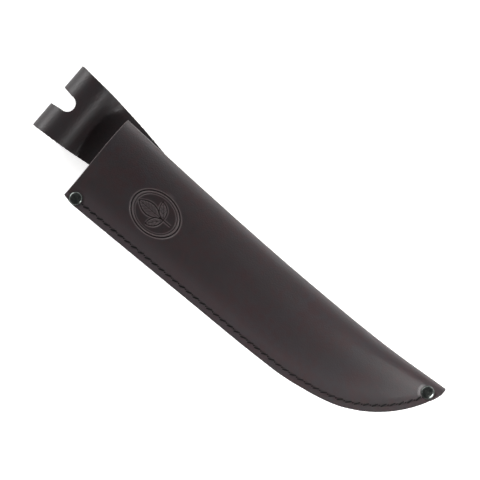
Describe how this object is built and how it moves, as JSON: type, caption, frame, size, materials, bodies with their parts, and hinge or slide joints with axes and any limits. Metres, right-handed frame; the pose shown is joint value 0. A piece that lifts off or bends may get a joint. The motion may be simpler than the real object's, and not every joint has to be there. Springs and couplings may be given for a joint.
{
  "type": "knife sheath",
  "caption": "Folded leather knife sheath with a stitched and riveted edge, an upswept tip and a folded belt loop that flexes at the mouth.",
  "frame": {"origin": "centre of the base of the whole part as it lies on its back", "axes": "+X from the mouth to the tip, +Y towards the folded spine side, +Z out of the front face"},
  "size_m": [0.3162, 0.0732, 0.0241],
  "materials": {
    "pouch_hide": "oiled, satin",
    "strap_hide": "oiled, satin",
    "filler_hide": "cut edge",
    "waxed_thread": "waxed, braided",
    "rivet_metal": "black, glossy"
  },
  "bodies": {
    "sheath": {"pouch_leather": "pouch_hide", "edge_filler": "filler_hide", "loop_inner_tail": "strap_hide", "loop_outer_tail": "strap_hide", "seam_thread_front": "waxed_thread", "seam_thread_back": "waxed_thread", "loop_thread_outside": "waxed_thread", "loop_thread_inside": "waxed_thread", "mouth_rivet_cap": "rivet_metal", "mouth_rivet_stud": "rivet_metal", "tip_rivet_cap": "rivet_metal", "tip_rivet_stud": "rivet_metal", "upper_loop_rivet_cap": "rivet_metal", "upper_loop_rivet_stud": "rivet_metal", "lower_loop_rivet_cap": "rivet_metal", "lower_loop_rivet_stud": "rivet_metal"},
    "loop": {"belt_loop": "strap_hide"}
  },
  "joints": [
    {"name": "belt_loop_flex", "type": "hinge", "parent": "sheath", "child": "loop", "pos_m": [-0.11255, 0.01145, 0.0044], "axis": [0, 1, 0], "range_deg": [-60, 24], "stiffness_Nm_per_rad": 0.5}
  ]
}
